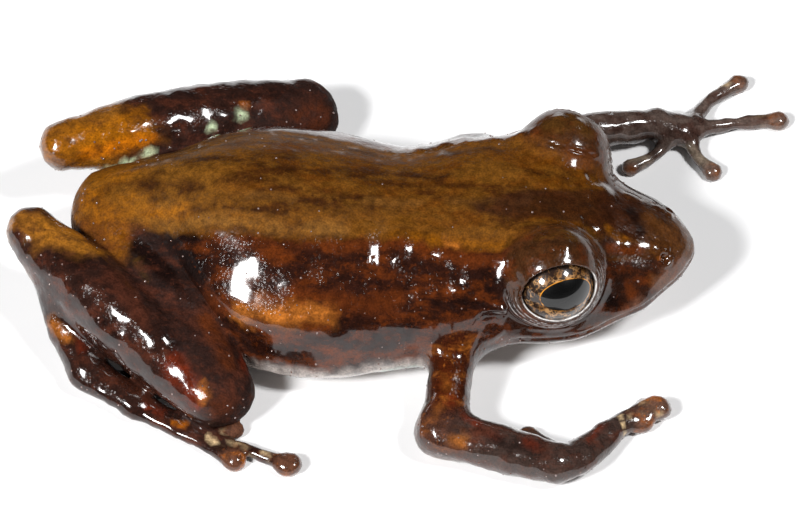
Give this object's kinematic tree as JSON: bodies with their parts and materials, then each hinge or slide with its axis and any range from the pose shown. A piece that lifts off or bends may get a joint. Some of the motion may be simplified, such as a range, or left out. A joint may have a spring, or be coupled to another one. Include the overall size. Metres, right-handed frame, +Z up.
{
  "type": "leaf-litter rain frog figure",
  "caption": "Life-size still figure of a small rain frog, pristimantis altamazonicus, crouched on folded hind legs with its arms forward.",
  "frame": {"origin": "middle of the whole frog's box, at the level of the floor that it rests on", "axes": "+X towards the snout, +Y to the frog's left, +Z up"},
  "size_m": [0.0324, 0.0238, 0.0068],
  "materials": {
    "body_skin": "wet, glossy, tan-brown back over dark flanks",
    "limb_skin": "wet, glossy, dark red-brown with darker bars",
    "eye": "clear wet gloss over a coppery iris with a level black pupil"
  },
  "bodies": {
    "root": {"head": "body_skin", "torso": "body_skin", "eye_right": "eye", "eye_left": "eye", "upper_arm_right": "limb_skin", "forearm_right": "limb_skin", "hand_right": "limb_skin", "upper_arm_left": "limb_skin", "forearm_left": "limb_skin", "hand_left": "limb_skin", "thigh_right": "limb_skin", "shank_right": "limb_skin", "foot_right": "limb_skin", "thigh_left": "limb_skin", "shank_left": "limb_skin", "foot_left": "limb_skin"}
  },
  "joints": []
}
